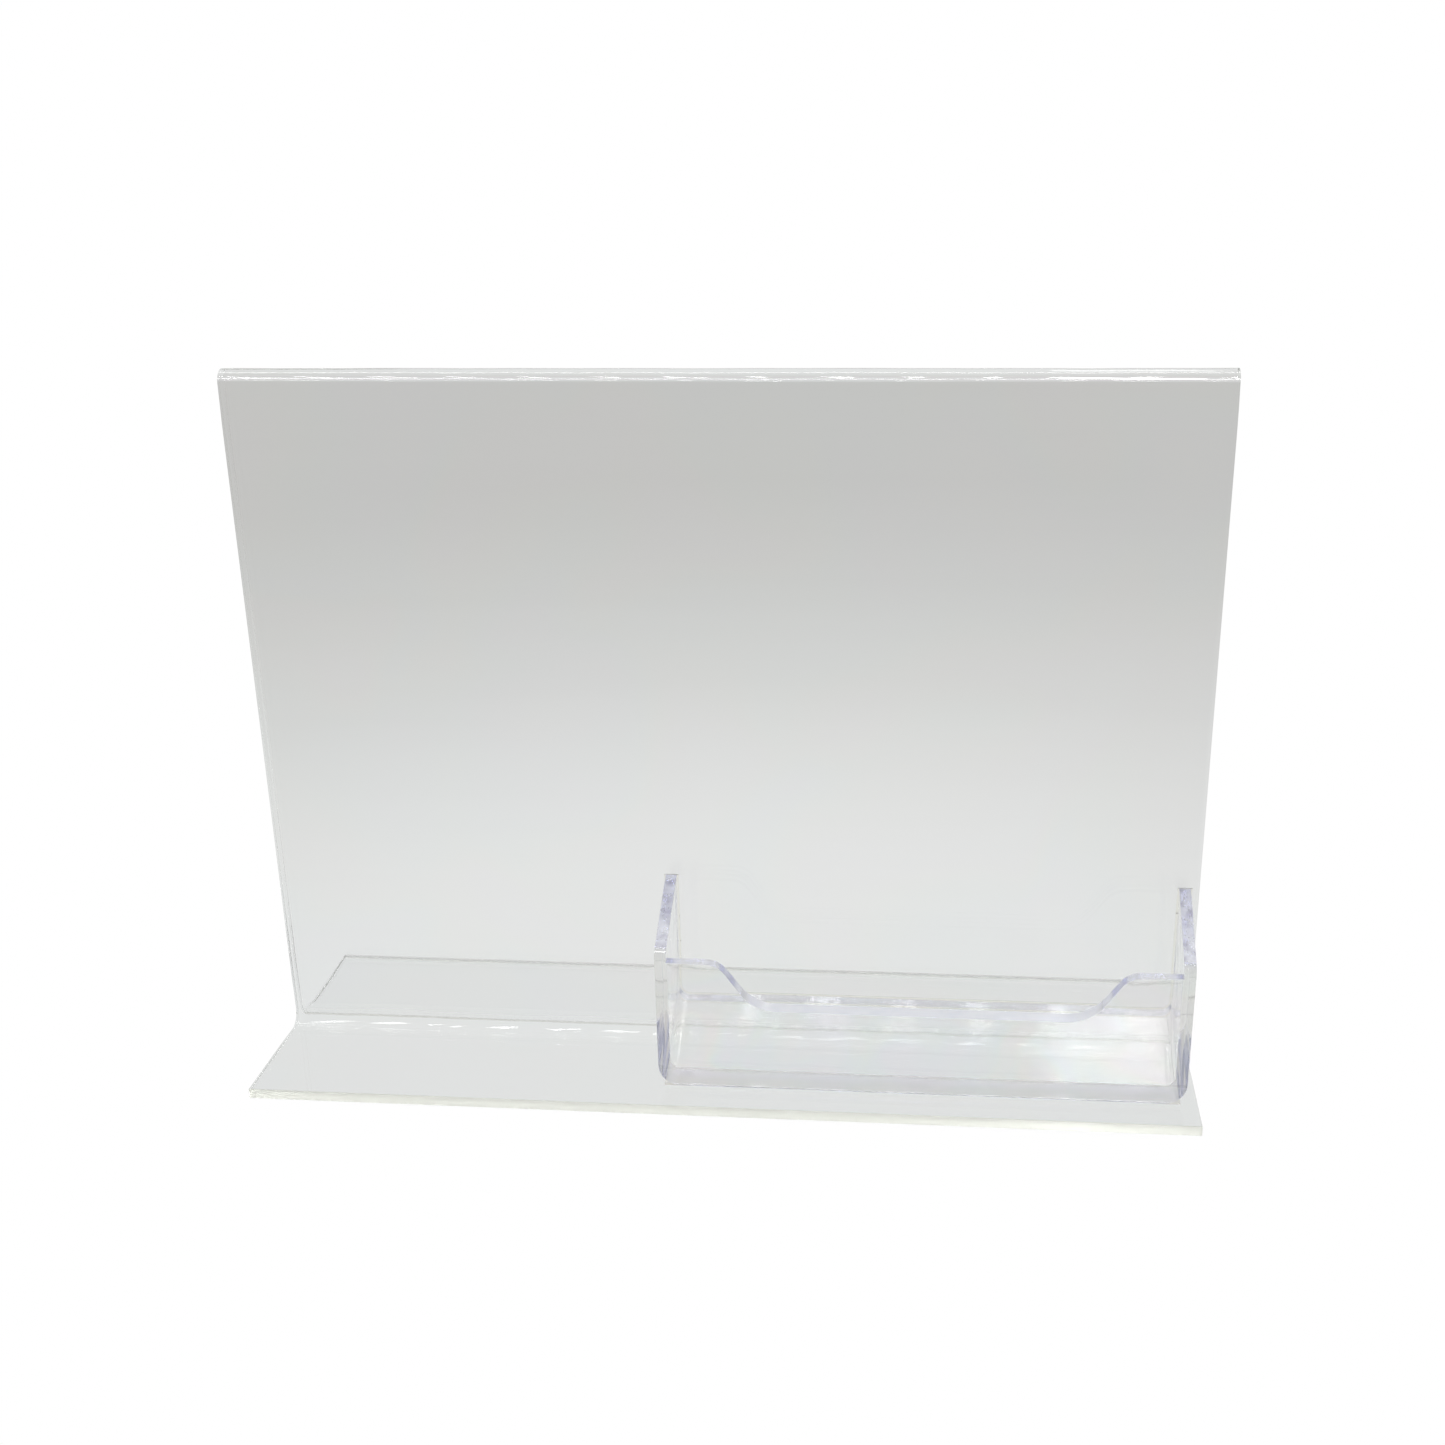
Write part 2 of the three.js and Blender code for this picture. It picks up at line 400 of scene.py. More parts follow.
@dataclass(frozen=True)
class ClearFinish:
    """A see-through plastic: how it bends, tints and scatters light."""

    name: str
    ior: float
    depth: Depth
    bump_height: float
    group: type[SurfaceGroup]
    group_values: dict[str, float]
    tint: Colour = WHITE
    clarity: float = 1.0
    stain: Colour | None = None
    stress: dict[str, float] | None = None

    def material(self) -> bpy.types.Material:
        """The finish's material, built the first time that it is asked for."""
        found = bpy.data.materials.get(self.name)
        if found:
            return found
        made = bpy.data.materials.new(self.name)
        tree = NodeMaker.emptied(made)
        surface = tree.add("ShaderNodeGroup", self.group_values, node_tree=self.group.shared())
        links = {"Distance": self.bump_height, "Height": surface.outputs["Height"]}
        bump = tree.add("ShaderNodeBump", links)
        colour = (*self.tint, 1.0)
        if self.stress:
            strain = tree.add("ShaderNodeGroup", self.stress, node_tree=StressColours.shared())
            colour = strain.outputs["Color"]
        if self.stain:
            colour = tree.mixed(surface.outputs["Stain"], colour, (*self.stain, 1.0))
        links = {
            "Base Color": colour,
            "IOR": self.ior,
            "Transmission Weight": self.clarity,
            "Roughness": surface.outputs["Roughness"],
            "Normal": bump.outputs["Normal"],
        }
        plastic = tree.add("ShaderNodeBsdfPrincipled", links)
        links = {"Color": (*self.depth.colour, 1.0), "Density": self.depth.density}
        fading = tree.add("ShaderNodeVolumeAbsorption", links)
        links = {"Surface": plastic.outputs["BSDF"], "Volume": fading.outputs["Volume"]}
        tree.add("ShaderNodeOutputMaterial", links)
        return made


ACRYLIC_IOR = 1.49
ACRYLIC_DEPTH = Depth((0.975, 0.98, 0.97), 10.0)
POLYSTYRENE_IOR = 1.55
POLYSTYRENE_DEPTH = Depth((0.78, 0.80, 0.975), 10.0)

POLISHED_ACRYLIC = ClearFinish(
    name="polished_acrylic",
    ior=ACRYLIC_IOR,
    depth=ACRYLIC_DEPTH,
    bump_height=0.0004 * MM,
    group=HandlingWear,
    group_values={
        "Polish": 0.03,
        "Haze": 0.05,
        "Smear Scale": 14.0,
        "Scuff Scale": 900.0,
        "Wave Scale": 60.0,
        "Wave Height": 20.0,
    },
    stress={"Strength": 0.02, "Patch Scale": 25.0, "Streak Scale": 350.0, "Streaks": 0.012},
)
SAWN_ACRYLIC = ClearFinish(
    name="sawn_acrylic",
    ior=ACRYLIC_IOR,
    depth=ACRYLIC_DEPTH,
    bump_height=0.002 * MM,
    group=ToolMarks,
    group_values={"Roughness": 0.4, "Spread": 0.2, "Mark Scale": 1400.0, "Grain Scale": 4000.0},
    tint=(0.91, 0.91, 0.83),
    clarity=0.92,
)
MOULDED_POLYSTYRENE = ClearFinish(
    name="moulded_polystyrene",
    ior=POLYSTYRENE_IOR,
    depth=POLYSTYRENE_DEPTH,
    bump_height=0.001 * MM,
    group=HandlingWear,
    group_values={
        "Polish": 0.05,
        "Haze": 0.1,
        "Smear Scale": 40.0,
        "Scuff Scale": 500.0,
        "Wave Scale": 130.0,
        "Wave Height": 70.0,
    },
    stress={"Strength": 0.10, "Patch Scale": 70.0, "Streak Scale": 300.0, "Streaks": 0.01},
)
ERODED_POLYSTYRENE = ClearFinish(
    name="eroded_polystyrene",
    ior=POLYSTYRENE_IOR,
    depth=POLYSTYRENE_DEPTH,
    bump_height=0.015 * MM,
    group=ToolMarks,
    group_values={"Roughness": 0.3, "Spread": 0.3, "Mark Scale": 1500.0, "Grain Scale": 2600.0},
    tint=(0.92, 0.93, 0.97),
    clarity=0.5,
    stain=(0.55, 0.54, 0.62),
)
DRAWN_POLYSTYRENE = ClearFinish(
    name="drawn_polystyrene",
    ior=POLYSTYRENE_IOR,
    depth=POLYSTYRENE_DEPTH,
    bump_height=0.002 * MM,
    group=ToolMarks,
    group_values={"Roughness": 0.15, "Spread": 0.1, "Mark Scale": 600.0, "Grain Scale": 2000.0},
    tint=(0.98, 0.985, 1.0),
    clarity=0.72,
    stain=(0.92, 0.93, 0.98),
)
SOLVENT_CEMENT = ClearFinish(
    name="solvent_cement",
    ior=1.51,
    depth=Depth((0.9, 0.89, 0.85), 4.0),
    bump_height=0.0005 * MM,
    group=HandlingWear,
    group_values={
        "Polish": 0.01,
        "Haze": 0.03,
        "Smear Scale": 300.0,
        "Scuff Scale": 900.0,
        "Wave Scale": 400.0,
        "Wave Height": 4.0,
    },
    tint=(0.96, 0.95, 0.9),
)
CAUGHT_DUST = ClearFinish(
    name="caught_dust",
    ior=1.45,
    depth=Depth((0.6, 0.5, 0.4), 40.0),
    bump_height=0.01 * MM,
    group=ToolMarks,
    group_values={"Roughness": 0.6, "Spread": 0.2, "Mark Scale": 3000.0, "Grain Scale": 6000.0},
    tint=(0.30, 0.27, 0.25),
    clarity=0.3,
)


# --- geometry node trees ---


class GeometryTree(NodeGroup):
    """A geometry node tree that a piece carries as a modifier."""

    name: str
    inputs: dict[str, str]

    def __init__(self) -> None:
        """Starts a tree that takes the piece's own geometry, and builds it."""
        super().__init__(self.name, "GeometryNodeTree")
        for label, kind in {"Geometry": "Geometry", **self.inputs}.items():
            self.declare(label, f"NodeSocket{kind}")
        self.give("Geometry", "NodeSocketGeometry", self.result(self.given("Geometry")))

    def result(self, geometry: Socket) -> Socket:
        """What the tree's own nodes make of the piece's geometry."""
        raise NotImplementedError

    def finished(self, geometry: Socket, label: str, chosen: Socket | bool = True) -> Socket:
        """Geometry whose chosen faces have one of the named finishes."""
        links = {"Geometry": geometry, "Selection": chosen, "Material": self.given(label)}
        return self.add("GeometryNodeSetMaterial", links).outputs[0]

    def put_on(self, piece: bpy.types.Object, values: dict[str, object]) -> None:
        """Adds the tree to a piece as a modifier and sets its named inputs."""
        modifier = piece.modifiers.new(self.tree.name, "NODES")
        modifier.node_group = self.tree
        for item in self.tree.interface.items_tree:
            if item.item_type == "SOCKET" and item.in_out == "INPUT" and item.name in values:
                modifier[item.identifier] = values[item.name]


class HeatRipple(GeometryTree):
    """The slight waves that heating and drawing leave in a clear sheet's faces."""

    name = "heat_ripple"
    inputs = {
        "Ripple Height": "Float",
        "Ripple Pitch": "Vector",
        "Seed": "Float",
        "Face Finish": "Material",
        "Edge Finish": "Material",
    }

    def result(self, geometry: Socket) -> Socket:
        """Moves the faces by noise along the normal, scaled by the heat attribute."""
        place = self.add("GeometryNodeInputPosition").outputs[0]
        links = {0: place, 1: self.given("Ripple Pitch")}
        waves = self.add("ShaderNodeVectorMath", links, operation="DIVIDE").outputs[0]
        links = {"Vector": waves, "W": self.given("Seed"), "Scale": 1.0, "Detail": 1.0}
        noise = self.add("ShaderNodeTexNoise", links, noise_dimensions="4D").outputs[0]
        heat = self.add("GeometryNodeInputNamedAttribute", {"Name": HEAT}, data_type="FLOAT").outputs[0]
        share = self.math("MULTIPLY", self.math("SUBTRACT", noise, 1.0), heat)
        height = self.math("MULTIPLY", share, self.given("Ripple Height"))
        shift = self.scaled(self.add("GeometryNodeInputNormal").outputs[0], height)
        links = {"Geometry": geometry, "Offset": shift}
        moved = self.add("GeometryNodeSetPosition", links).outputs[0]
        real = self.add("GeometryNodeRealizeInstances", {"Geometry": moved}).outputs[0]
        sawn = self.add("GeometryNodeInputNamedAttribute", {"Name": SAWN}, data_type="BOOLEAN").outputs[0]
        return self.finished(self.finished(real, "Face Finish"), "Edge Finish", sawn)


class SeamSpecks(GeometryTree):
    """Specks of dust and small bubbles caught in a film of cement."""

    name = "seam_specks"
    inputs = {
        "Specks per Square Metre": "Float",
        "Smallest Speck": "Float",
        "Speck Size": "Vector",
        "Seed": "Int",
        "Film Finish": "Material",
        "Speck Finish": "Material",
    }

    def result(self, geometry: Socket) -> Socket:
        """Scatters specks over the film and joins them with it."""
        film = self.finished(geometry, "Film Finish")
        seed = self.given("Seed")
        links = {"Mesh": geometry, "Density": self.given("Specks per Square Metre"), "Seed": seed}
        points = self.add("GeometryNodeDistributePointsOnFaces", links)
        speck = self.add("GeometryNodeMeshIcoSphere", {"Radius": 1.0, "Subdivisions": 2})
        links = {2: self.given("Smallest Speck"), 3: 1.0, "Seed": seed}
        size = self.add("FunctionNodeRandomValue", links, data_type="FLOAT")
        links = {
            "Points": points.outputs["Points"],
            "Instance": speck.outputs["Mesh"],
            "Scale": self.scaled(self.given("Speck Size"), size.outputs[1]),
        }
        scattered = self.add("GeometryNodeInstanceOnPoints", links).outputs[0]
        both = self.add("GeometryNodeJoinGeometry")
        self.tree.links.new(self.finished(scattered, "Speck Finish"), both.inputs[0])
        self.tree.links.new(film, both.inputs[0])
        return self.add("GeometryNodeRealizeInstances", {"Geometry": both.outputs[0]}).outputs[0]


# --- the bent sheet ---


@dataclass
class BentSheet:
    """The acrylic blank, sawn flat and then heat-bent over three lines."""

    node: str = "sign_holder_sheet"
    piece_name: str = "bent_acrylic_sheet"
    thickness: float = 2.0 * MM
    slot: float = 1.0 * MM
    foot_bend_radius: float = 3.0 * MM
    edge_round: float = 0.18 * MM
    hold_line: float = 0.25 * MM
    column_pitch: float = 1.5 * MM
    flat_pitch: float = 3.5 * MM
    foot_steps: int = 20
    fold_steps: int = 36
    ripple_height: float = 0.2 * MM
    ripple_pitch: tuple[float, float, float] = (14 * MM, 5 * MM, 5 * MM)
    flat_heat: float = 0.04
    heat_reach: float = 4.0 * MM
    seed: float = 3.0
    corner_steps: int = 3
    side_rows: tuple[float, ...] = (0.6, 0.0, -0.6)
    end_profile: tuple[Point, ...] = ((0.0, 0.75), (0.25, 0.33), (0.67, 0.08), (1.0, 0.0))
    width: float = field(init=False)
    height: float = field(init=False)
    reach: float = field(init=False)

    def __post_init__(self) -> None:
        """Takes the overall sizes from the CAD node."""
        low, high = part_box(self.node)
        self.width = high.x - low.x
        self.height = high.z - low.z
        self.reach = high.y

    @property
    def panel_face(self) -> float:
        """From the middle of the slot to a panel's outer face."""
        return self.thickness + self.slot / 2

    @property
    def wing_flat(self) -> float:
        """Length of a wing's flat part."""
        return self.reach - self.panel_face - self.foot_bend_radius

    @property
    def foot_arc(self) -> float:
        """Length of a foot bend, along the middle of the sheet."""
        return math.pi / 2 * (self.foot_bend_radius + self.thickness / 2)

    @property
    def panel_flat(self) -> float:
        """Length of a panel's flat part."""
        return self.height - self.panel_face - self.thickness - self.foot_bend_radius

    @property
    def fold_arc(self) -> float:
        """Length of the top fold, along the middle of the sheet."""
        return math.pi * (self.slot + self.thickness) / 2

    @property
    def flat_length(self) -> float:
        """The blank's length before it is bent."""
        return 2 * (self.wing_flat + self.foot_arc + self.panel_flat) + self.fold_arc

    def stations(self) -> list[float]:
        """How far the blank's rows lie from the front wing's edge, finer in the bends."""
        front = [
            (self.wing_flat, math.ceil(self.wing_flat / self.flat_pitch)),
            (self.foot_arc, self.foot_steps),
            (self.panel_flat, math.ceil(self.panel_flat / self.flat_pitch)),
        ]
        rows, start = [], 0.0
        for length, steps in [*front, (self.fold_arc, self.fold_steps), *reversed(front)]:
            rows += [start + length * i / steps for i in range(steps)]
            start += length
        rows.append(start)
        near = [self.edge_round + self.hold_line, start - self.edge_round - self.hold_line]
        return sorted(rows[1:-1] + near)

    def bend(self, along: float) -> tuple[Point, Point]:
        """Where a point of the blank's middle goes once the blank is bent.

        Args:
            along: distance from the front wing's edge.

        Returns:
            The point in (y, z) and the unit normal towards the outer face.
        """
        half = self.thickness / 2
        foot_r = self.foot_bend_radius + half
        foot_y = self.panel_face + self.foot_bend_radius
        foot_z = self.thickness + self.foot_bend_radius
        fold_r = (self.slot + self.thickness) / 2
        fold_z = self.height - self.panel_face
        rear = along > self.flat_length / 2
        left = self.flat_length - along if rear else along
        if left <= self.wing_flat:
            point, normal = (-self.reach + left, half), (0.0, 1.0)
        elif left <= self.wing_flat + self.foot_arc:
            turn = (left - self.wing_flat) / foot_r
            normal = (-math.sin(turn), math.cos(turn))
            point = (-foot_y - foot_r * normal[0], foot_z - foot_r * normal[1])
        elif left <= self.wing_flat + self.foot_arc + self.panel_flat:
            climb = left - self.wing_flat - self.foot_arc
            point, normal = (-fold_r, foot_z + climb), (-1.0, 0.0)
        else:
            turn = (left - self.wing_flat - self.foot_arc - self.panel_flat) / fold_r
            normal = (-math.cos(turn), math.sin(turn))
            point = (fold_r * normal[0], fold_z + fold_r * normal[1])
        if rear:
            return (-point[0], point[1]), (-normal[0], normal[1])
        return point, normal

    def heat_at(self, along: float) -> float:
        """How strongly the bending heat marked the sheet at a station.

        Args:
            along: distance from the front wing's edge.

        Returns:
            1 in the bends, falling to the flat value away from them.
        """
        foot = self.wing_flat + self.foot_arc / 2
        top = self.wing_flat + self.foot_arc + self.panel_flat + self.fold_arc / 2
        bends = [(foot, self.foot_arc), (top, self.fold_arc), (2 * top - foot, self.foot_arc)]
        away = min(max(abs(along - middle) - length / 2, 0.0) for middle, length in bends)
        return self.flat_heat + (1 - self.flat_heat) * math.exp(-((away / self.heat_reach) ** 2))

    def section(self, inset: float) -> tuple[list[Point], int]:
        """The blank's cross-section as a ring of points, corners rounded.

        Args:
            inset: how far the whole ring is drawn in, for the rounded ends.

        Returns:
            The ring in (x, depth), upper row first, and how many points a row has.
        """
        round_r = self.edge_round - inset
        half_x = self.width / 2 - self.edge_round
        half_v = self.thickness / 2 - self.edge_round
        columns = math.ceil(2 * half_x / self.column_pitch)
        inner = half_x - self.hold_line
        row = [-half_x, *np.linspace(-inner, inner, columns), half_x]
        top = [(x, half_v + round_r) for x in row]
        steps = self.corner_steps
        right = arc_points((half_x, half_v), round_r, math.pi / 2, 0.0, steps)[1:]
        right += [(half_x + round_r, half_v * share) for share in self.side_rows]
        right += arc_points((half_x, -half_v), round_r, 0.0, -math.pi / 2, steps)[:-1]
        bottom = [(x, -half_v - round_r) for x in reversed(row)]
        left = [(-x, v) for x, v in reversed(right)]
        return top + right + bottom + left, len(row)

    def rings(self) -> list[Point]:
        """Every row of the mesh as (distance along, inset), with the rounded ends."""
        ends = [(along * self.edge_round, inset * self.edge_round) for along, inset in self.end_profile]
        middle = [(s, 0.0) for s in self.stations()]
        return ends + middle + [(self.flat_length - s, inset) for s, inset in reversed(ends)]

    def mesh(self) -> bpy.types.Mesh:
        """Builds the bent sheet as one closed skin.

        Returns:
            The mesh, with its heat and sawn attributes.
        """
        places, heats = [], []
        rings = self.rings()
        for along, inset in rings:
            (y, z), (ny, nz) = self.bend(along)
            ring, columns = self.section(inset)
            places += [(x, y + ny * depth, z + nz * depth) for x, depth in ring]
            heats += [self.heat_at(along)] * len(ring)
        count = len(ring)
        end_rows = len(self.end_profile) - 1
        faces, sawn = [], []
        for row in range(len(rings) - 1):
            base = row * count
            end_round = row < end_rows or row >= len(rings) - 1 - end_rows
            for i in range(count):
                j = (i + 1) % count
                faces.append((base + i, base + j, base + count + j, base + count + i))
                sawn.append(end_round)
        for base, flip in ((0, False), ((len(rings) - 1) * count, True)):
            for cap in self.cap_faces(count, columns):
                loop = [base + i for i in cap]
                faces.append(loop if flip else loop[::-1])
                sawn.append(True)
        mesh = bpy.data.meshes.new(self.piece_name)
        mesh.from_pydata(places, [], faces)
        mesh.attributes.new(HEAT, "FLOAT", "POINT").data.foreach_set("value", heats)
        mesh.attributes.new(SAWN, "BOOLEAN", "FACE").data.foreach_set("value", sawn)
        smooth_faces(mesh)
        self.face_outwards(mesh)
        return mesh

    @staticmethod
    def cap_faces(count: int, columns: int) -> list[list[int]]:
        """The faces that close a ring at a wing's edge.

        Args:
            count: points in the ring.
            columns: points in its upper row.

        Returns:
            Index loops into the ring.
        """
        half = count // 2
        caps = []
        for i in range(columns - 1):
            low = half + columns - 1 - i
            caps.append([i, i + 1, low - 1, low])
        caps.append(list(range(columns - 1, half + 1)))
        caps.append([*range(half + columns - 1, count), 0])
        return caps

    @staticmethod
    def face_outwards(mesh: bpy.types.Mesh) -> None:
        """Turns every face of a closed mesh outwards."""
        shape = bmesh.new()
        shape.from_mesh(mesh)
        bmesh.ops.recalc_face_normals(shape, faces=shape.faces)
        shape.to_mesh(mesh)
        shape.free()

    def build(self) -> None:
        """Makes the piece, ripples it and gives it its finishes."""
        piece = add_mesh_object(self.piece_name, self.mesh())
        values = {
            "Ripple Height": self.ripple_height,
            "Ripple Pitch": self.ripple_pitch,
            "Seed": self.seed,
            "Face Finish": POLISHED_ACRYLIC.material(),
            "Edge Finish": SAWN_ACRYLIC.material(),
        }
        HeatRipple().put_on(piece, values)
        bake_modifiers(piece)
        claim(piece, self.node)


# --- the card pocket ---


class Face(Enum):
    """The pocket's kinds of face, as places in its list of finishes."""

    MOULDED = 0
    ERODED = 1
    DRAWN = 2


@dataclass
class CardPocket:
    """The moulded pocket: floor, two side walls and a front wall with a thumb cut."""

    node: str = "card_pocket"
    piece_name: str = "moulded_card_pocket"
    wall: float = 2.15 * MM
    front_half: float = 49.0 * MM
    bottom: float = 2.1 * MM
    rise: float = 7.3 * MM
    side_top: float = 29.5 * MM
    front_top: float = 27.7 * MM
    corner_radius: float = 4.0 * MM
    cut_low: float = 19.0 * MM
    cut_half: float = 26.5 * MM
    cut_low_radius: float = 8.5 * MM
    cut_high_radius: float = 4.5 * MM
    cut_slope: float = math.radians(53)
    sharp_angle: float = math.radians(32)
    round_steps: int = 3
    rim_fall: float = 0.2 * MM
    cut_fall: float = 0.75 * MM
    edge_round: float = 0.22 * MM
    corner_steps: int = 10
    curve_steps: int = 14
    knee_steps: int = 8
    middle: float = field(init=False)
    front: float = field(init=False)
    rear: float = field(init=False)
    rear_half: float = field(init=False)
    shape: bmesh.types.BMesh = field(init=False)

    def __post_init__(self) -> None:
        """Takes the place and the outer sizes from the CAD node."""
        low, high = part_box(self.node)
        self.middle = (low.x + high.x) / 2
        self.front = low.y
        self.rear = high.y
        self.rear_half = (high.x - low.x) / 2
        self.shape = bmesh.new()

    @property
    def climb(self) -> float:
        """Slope of the floor and of the side walls' tops."""
        return self.rise / (self.rear - self.front)

    @property
    def floor_thickness(self) -> float:
        """The floor's thickness, measured upright."""
        return self.wall * math.hypot(1, self.climb)

    @property
    def knee_radius(self) -> float:
        """Radius of a side wall's round front corner."""
        return (self.side_top - self.front_top) / math.tan((math.pi / 2 - math.atan(self.climb)) / 2)

    def half_width(self, y: float, inside: bool) -> float:
        """From the pocket's middle plane to a side wall's outer or inner face at a depth."""
        growth = (self.rear_half - self.front_half) / (self.rear - self.front)
        return self.front_half - (self.wall if inside else 0) + growth * (y - self.front)

    def floor_at(self, y: float, inside: bool) -> float:
        """Height of the floor's upper or lower face at a depth."""
        lift = self.floor_thickness if inside else 0
        return self.bottom + lift + self.climb * (y - self.front)

    def hull(self, y: float, inside: bool) -> list[Vector]:
        """The floor line at a depth, from wall to wall, with its rounded corners.

        Args:
            y: where along the depth.
            inside: True for the inner faces.

        Returns:
            Points from the left wall to the right wall.
        """
        half, low = self.half_width(y, inside), self.floor_at(y, inside)
        radius = self.corner_radius - (self.wall if inside else 0)
        steps = self.corner_steps
        left = arc_points((-half + radius, low + radius), radius, math.pi, 1.5 * math.pi, steps)
        right = arc_points((half - radius, low + radius), radius, 1.5 * math.pi, 2 * math.pi, steps)
        return [Vector((self.middle + x, y, z)) for x, z in left + right]

    def rim(self, y: float) -> list[Vector]:
        """The front wall's upper edge, which leans a little forward, at a depth.

        Args:
            y: where along the depth.

        Returns:
            Points from the left wall's inner face to the right one's.
        """
        low_r, high_r, slope = self.cut_low_radius, self.cut_high_radius, self.cut_slope
        drop = (low_r + high_r) * (1 - math.cos(slope))
        ramp = (self.front_top - self.cut_low - drop) / math.sin(slope)
        run = (low_r + high_r) * math.sin(slope) + ramp * math.cos(slope)
        up, down = math.pi / 2, -math.pi / 2
        steps = self.curve_steps
        high = (self.cut_half + run, self.front_top - high_r)
        low = (self.cut_half, self.cut_low + low_r)
        right = arc_points(low, low_r, down, down + slope, steps)
        right += arc_points(high, high_r, up + slope, up, steps)
        right.append((self.half_width(y, inside=True), self.front_top))
        forward = (self.front + self.wall - y) / self.wall
        depth = self.front_top - self.cut_low
        for i, (x, z) in enumerate(right[:-1]):
            share = (self.front_top - z) / depth
            fall = self.rim_fall + (self.cut_fall - self.rim_fall) * share
            right[i] = (x, z - forward * fall)
        whole = [(-x, z) for x, z in reversed(right)] + right
        return [Vector((self.middle + x, y, z)) for x, z in whole]

    def wall_top(self, side: Side, inside: bool) -> list[Vector]:
        """A side wall's upper edge, from the front wall's top to the rear.

        Args:
            side: which wall.
            inside: True for its inner face.

        Returns:
            Points up over the knee and along the slanted top.
        """
        radius, lean = self.knee_radius, math.atan(self.climb)
        centre = (self.front + radius, self.front_top)
        line = arc_points(centre, radius, math.pi, math.pi / 2 + lean, self.knee_steps)
        line.append((self.rear, self.side_top + self.rise))
        return [
            Vector((self.middle + side.value * self.half_width(y, inside), y, z)) for y, z in line
        ]

    def face(self, points: list[Vector], finish: Face = Face.MOULDED) -> None:
        """Adds one face with one of the pocket's finishes."""
        made = self.shape.faces.new([self.shape.verts.new(p) for p in points])
        made.material_index = finish.value
        made.smooth = True

    def strip(self, one: list[Vector], other: list[Vector], finish: Face = Face.MOULDED) -> None:
        """Adds a row of quads between two lines of equally many points."""
        for a, b, c, d in zip(one, one[1:], other[1:], other):
            self.face([a, b, c, d], finish)

    def side_wall(self, side: Side) -> None:
        """Adds both faces and the top of one side wall."""
        inner_front = self.front + self.wall
        end = 0 if side is Side.LEFT else -1
        outer_top, inner_top = self.wall_top(side, False), self.wall_top(side, True)
        self.face(outer_top + [self.hull(self.rear, False)[end], self.hull(self.front, False)[end]])
        self.face(
            inner_top
            + [
                self.hull(self.rear, True)[end],
                self.hull(inner_front, True)[end],
                self.rim(inner_front)[end],
            ]
        )
        self.strip(outer_top[:-1], inner_top[:-1])
        self.strip(outer_top[-2:], inner_top[-2:], Face.ERODED)

    def close_skin(self) -> None:
        """Builds the pocket as one closed skin with sharp edges."""
        inner_front = self.front + self.wall
        for side in Side:
            self.side_wall(side)
        self.strip(self.hull(self.front, False), self.hull(self.rear, False))
        self.strip(self.hull(inner_front, True), self.hull(self.rear, True))
        outer_rim, inner_rim = self.rim(self.front), self.rim(inner_front)
        self.strip(outer_rim, inner_rim, Face.DRAWN)
        left_top, right_top = self.wall_top(Side.LEFT, False), self.wall_top(Side.RIGHT, False)
        self.face(
            [left_top[0], *self.hull(self.front, False), right_top[0], *reversed(outer_rim)]
        )
        self.face(self.hull(inner_front, True) + inner_rim[::-1])
        rear_inner = [
            self.wall_top(Side.RIGHT, True)[-1],
            *reversed(self.hull(self.rear, True)),
            self.wall_top(Side.LEFT, True)[-1],
        ]
        self.face([left_top[-1], *self.hull(self.rear, False), right_top[-1], *rear_inner])
        bmesh.ops.remove_doubles(self.shape, verts=self.shape.verts, dist=MERGE)
        bmesh.ops.recalc_face_normals(self.shape, faces=self.shape.faces)

    def build(self) -> None:
        """Makes the piece, rounds its edges and gives it its finishes."""
        self.close_skin()
        piece = add_mesh_object(self.piece_name, self.shape)
        for finish in (MOULDED_POLYSTYRENE, ERODED_POLYSTYRENE, DRAWN_POLYSTYRENE):
            piece.data.materials.append(finish.material())
        rounding = piece.modifiers.new("edge_round", "BEVEL")
        rounding.width = self.edge_round
        rounding.segments = self.round_steps
        rounding.limit_method = "ANGLE"
        rounding.angle_limit = self.sharp_angle
        rounding.harden_normals = True
        rounding.use_clamp_overlap = True
        bake_modifiers(piece)
        claim(piece, self.node)


# --- the cement ---


@dataclass
class CementSeam:
    """A film of cement between one of the pocket's rear edges and the panel."""

    node: str
    piece_name: str
    skin_gap: float = 0.02 * MM
    specks_per_square_metre: float = 24000.0
    speck_size: tuple[float, float, float] = (0.16 * MM, 0.03 * MM, 0.10 * MM)
    smallest_speck: float = 0.4
    seed: int = 5

    def build(self) -> None:
        """Makes the film and its specks as one piece."""
        low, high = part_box(self.node)
        middle = (low.y + high.y) / 2
        share = 1 - 2 * self.skin_gap / (high.y - low.y)
        shape = merged_copy(self.node)
        for vertex in shape.verts:
            vertex.co.y = middle + (vertex.co.y - middle) * share
        piece = add_mesh_object(self.piece_name, shape)
        values = {
            "Specks per Square Metre": self.specks_per_square_metre,
            "Smallest Speck": self.smallest_speck,
            "Speck Size": self.speck_size,
            "Seed": self.seed,
            "Film Finish": SOLVENT_CEMENT.material(),
            "Speck Finish": CAUGHT_DUST.material(),
        }
        SeamSpecks().put_on(piece, values)
        bake_modifiers(piece)
        claim(piece, self.node)


